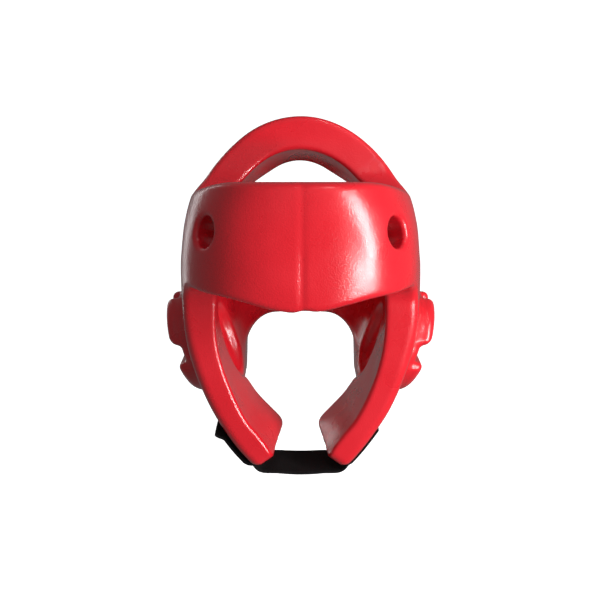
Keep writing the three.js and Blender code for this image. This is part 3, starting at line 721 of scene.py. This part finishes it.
strap.data.materials.append(webbing_material())
loop_patch.data.materials.append(nap_material("napped_loops", 0.006, 2600.0))
hook_patch.data.materials.append(nap_material("moulded_hooks", 0.004, 1800.0))


def stitch_row(start, end):
    """Share, place across and height of points along a row of stitches, between two (share, across) places on
    the strap's outside: each stitch is a bow of a half sine that dips into the webbing at its ends."""
    length = strap_ways(np.array([STRAP_Y]))[0][2]
    run = np.hypot((end[0] - start[0]) * length, end[1] - start[1])
    count = max(int(run / STITCH_PITCH), 1)
    t = np.linspace(0, count, count * 8 + 1)
    share = start[0] + (end[0] - start[0]) * t / count
    across = start[1] + (end[1] - start[1]) * t / count
    height = THREAD_RADIUS * (2.1 * np.sin(np.pi * np.minimum((t % 1) / 0.82, 1)) - 0.9)
    return share, across, height


def on_strap(share, across, height):
    """Points over the strap's outer face at a share, a place across and a height, between the sheet's points."""
    normals = sheet_normals(strap_grid)
    rows = np.interp(share, strap_shares, np.arange(len(strap_shares)))
    columns = np.interp(across, strap_across, np.arange(STRAP_COLUMNS))
    i = np.clip(rows.astype(int), 0, len(strap_shares) - 2)
    j = np.clip(columns.astype(int), 0, STRAP_COLUMNS - 2)
    u, v = (rows - i)[:, None], (columns - j)[:, None]
    blend = [(1 - u) * (1 - v), u * (1 - v), (1 - u) * v, u * v]
    corners = [(i, j), (i + 1, j), (i, j + 1), (i + 1, j + 1)]
    point = sum(w * strap_grid[c] for w, c in zip(blend, corners))
    normal = sum(w * normals[c] for w, c in zip(blend, corners))
    return point + normal * (STRAP_THICK + height)[:, None]


def thread_mesh(lines, radius, sides=6):
    """Tubes of a radius along lines of points: rings of points square to each line, joined by quads."""
    points, faces, first = [], [], 0
    for line in lines:
        way = np.gradient(line, axis=0)
        way /= np.linalg.norm(way, axis=1, keepdims=True)
        aside = np.cross(way, (0.31, 0.17, 0.93))
        aside /= np.linalg.norm(aside, axis=1, keepdims=True)
        other = np.cross(way, aside)
        turn = np.arange(sides) * 2 * np.pi / sides
        cosine, sine = np.cos(turn)[None, :, None], np.sin(turn)[None, :, None]
        ring = cosine * aside[:, None] + sine * other[:, None]
        points.append((line[:, None] + radius * ring).reshape(-1, 3))
        number = first + np.arange(len(line) * sides).reshape(-1, sides)
        following = np.roll(number, -1, 1)
        faces.append(np.stack([number[:-1], following[:-1], following[1:], number[1:]], -1).reshape(-1, 4))
        first += len(line) * sides
    return np.concatenate(points), np.concatenate(faces)


def seams():
    """Rows of stitches: a box round the hook patch, and one row across beside the rivet."""
    edge = STRAP_WIDTH / 2 - PATCH_MARGIN - SEAM_INSET
    low, high = STRAP_Y - edge, STRAP_Y + edge
    start, end = PATCH_FROM + SEAM_INSET_SHARE, PATCH_TO - SEAM_INSET_SHARE
    beside = 1 - SEAM_BEYOND * RIVET_TO_END
    corners = [(start, low), (start, high), (end, high), (end, low), (start, low)]
    rows = list(zip(corners[:-1], corners[1:]))
    rows.append(((beside, low), (beside, high)))
    return [on_strap(*stitch_row(a, b)) for a, b in rows]


stitches = new_piece("strap_stitches", *thread_mesh(seams(), THREAD_RADIUS), "black_elastic")
thread, _, _ = new_material("black_thread", Base_Color=(0.006, 0.006, 0.006, 1), Roughness=0.6)
stitches.data.materials.append(thread)

# The rivet
# A turned cap of dull nickel whose shank goes through the strap's end into the foam.
RIVET_HEAD = 0.005
RIVET_SHANK = 0.002
RIVET_LENGTH = 0.012
RIVET_DOME = 0.0016
RIVET_EDGE = 0.0007  # radius of the head's round edge


def rivet_mesh(sides=32):
    """A profile of shank, flat underside, round edge and low dome, turned about the rivet's own axis."""
    turn = np.linspace(0, np.pi / 2, 9)
    dome_radius = (RIVET_HEAD - RIVET_EDGE) * np.cos(turn)
    dome_height = RIVET_EDGE + (RIVET_DOME - RIVET_EDGE) * np.sin(turn)
    rim = np.linspace(-np.pi / 2, 0, 5)
    rim_radius = RIVET_HEAD - RIVET_EDGE + RIVET_EDGE * np.cos(rim)
    rim_height = RIVET_EDGE + RIVET_EDGE * np.sin(rim)
    radius = np.concatenate([[1e-5, RIVET_SHANK, RIVET_SHANK], rim_radius, dome_radius[1:-1], [1e-5]])
    height = np.concatenate([[-RIVET_LENGTH, -RIVET_LENGTH, 0], rim_height, dome_height[1:-1],
                             [RIVET_DOME]]) + GAP
    angle = np.arange(sides) * 2 * np.pi / sides
    points = np.stack([radius[:, None] * np.cos(angle), radius[:, None] * np.sin(angle),
                       np.repeat(height[:, None], sides, 1)], -1).reshape(-1, 3)
    number = np.arange(len(points)).reshape(-1, sides)
    following = np.roll(number, -1, 1)
    faces = np.stack([number[:-1], following[:-1], following[1:], number[1:]], -1).reshape(-1, 4)
    return points, faces


def rivet_place():
    """Foot on the strap's outer face at the right end, and the turn that brings z square to that face."""
    foot = on_strap(np.array([1 - RIVET_TO_END]), np.array([STRAP_Y]), np.zeros(1))[0]
    i = np.argmin(np.abs(strap_shares - (1 - RIVET_TO_END)))
    normal = sheet_normals(strap_grid)[i, STRAP_COLUMNS // 2]
    return foot, np.array(Vector(normal).to_track_quat("Z", "Y").to_matrix())


rivet_points, rivet_faces = rivet_mesh()
rivet_foot, rivet_turn = rivet_place()
rivet = new_piece("turned_rivet", rivet_points @ rivet_turn.T + rivet_foot, rivet_faces, "grey_rivet")
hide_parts("strap_rivet")
nickel, _, _ = new_material("dull_nickel", Base_Color=(0.36, 0.33, 0.30, 1), Metallic=1.0, Roughness=0.38)
rivet.data.materials.append(nickel)

# The floor and the backdrop
# One pale sheet of paper, level under the headgear and swept up behind it.
SWEEP_FRONT = -2.5
SWEEP_BACK = 2.2
SWEEP_RADIUS = 1.2
SWEEP_HEIGHT = 3.0
SWEEP_HALF_WIDTH = 4.0
FLOOR_Z = float(cad_box[0][2]) - 0.07


def sweep_mesh():
    """A profile of a level run, a quarter circle and an upright run, carried straight across."""
    turn = np.linspace(0, np.pi / 2, 24)
    y = np.concatenate([[SWEEP_FRONT], SWEEP_BACK - SWEEP_RADIUS * (1 - np.sin(turn)), [SWEEP_BACK]])
    z = np.concatenate([[0], SWEEP_RADIUS * (1 - np.cos(turn)), [SWEEP_HEIGHT]]) + FLOOR_Z
    sides = (-SWEEP_HALF_WIDTH, SWEEP_HALF_WIDTH)
    points = np.array([(x, y[i], z[i]) for x in sides for i in range(len(y))])
    i = np.arange(len(y) - 1)
    faces = np.stack([i, i + len(y), i + len(y) + 1, i + 1], 1)
    mesh = bpy.data.meshes.new("paper_sweep")
    mesh.from_pydata(points.tolist(), [], faces.tolist())
    mesh.polygons.foreach_set("use_smooth", np.ones(len(faces), bool))
    return mesh


sweep = bpy.data.objects.new("paper_sweep", sweep_mesh())
bpy.context.collection.objects.link(sweep)
paper, _, _ = new_material("pale_paper", Base_Color=(0.86, 0.86, 0.86, 1), Roughness=0.9,
                           Emission_Color=(1, 1, 1, 1), Emission_Strength=0.9)
sweep.data.materials.append(paper)
sweep.visible_glossy = False
sweep.visible_diffuse = False

# Light and camera
# A tall soft box and a low one at the right make the sheen of the forehead, a small one high up that of the
# arch and a tall panel at the left the pale edge there. A wide box in front brightens without being mirrored.
scene = bpy.context.scene


def soft_box(name, place, size, watts, mirrored=True, aim=(0, 0, -0.1)):
    """Rectangular area light at a place, turned to its aim, mirrored in glossy surfaces or not."""
    light = bpy.data.lights.new(name, "AREA")
    light.shape = "RECTANGLE"
    light.size, light.size_y = size
    light.energy = watts
    lamp = bpy.data.objects.new(name, light)
    lamp.location = place
    lamp.rotation_euler = (Vector(aim) - Vector(place)).to_track_quat("-Z", "Y").to_euler()
    lamp.visible_glossy = mirrored
    bpy.context.collection.objects.link(lamp)


soft_box("tall_box_right", (0.93, -0.76, 0.12), (0.15, 1.0), 19)
soft_box("low_box_right", (0.70, -0.96, -0.24), (0.3, 0.14), 5)
soft_box("arch_side_box", (0.40, -0.60, 1.1), (0.12, 0.12), 1)
soft_box("wide_box_front", (0.3, -1.4, 1.2), (2.2, 1.4), 7, mirrored=False)
soft_box("left_panel", (-0.9, 1.05, 0.1), (0.14, 1.3), 1.5)

world = bpy.data.worlds.new("white_room")
world.use_nodes = True
world.node_tree.nodes["Background"].inputs["Color"].default_value = (1, 1, 1, 1)
world.node_tree.nodes["Background"].inputs["Strength"].default_value = 0.16
scene.world = world
scene.view_settings.view_transform = "Standard"

CAMERA_TURN = np.radians(0)
CAMERA_RISE = np.radians(15)
CAMERA_DISTANCE = 0.65
CAMERA_AIM = np.array([-0.0005, 0.0, -0.021]) - SEAT
away = np.array([np.sin(CAMERA_TURN) * np.cos(CAMERA_RISE), -np.cos(CAMERA_TURN) * np.cos(CAMERA_RISE),
                 np.sin(CAMERA_RISE)])
lens = bpy.data.cameras.new("camera")
lens.lens = 45.2
lens.sensor_width = 36
camera = bpy.data.objects.new("camera", lens)
camera.location = CAMERA_AIM + away * CAMERA_DISTANCE
camera.rotation_euler = Vector(-away).to_track_quat("-Z", "Y").to_euler()
bpy.context.collection.objects.link(camera)
scene.camera = camera
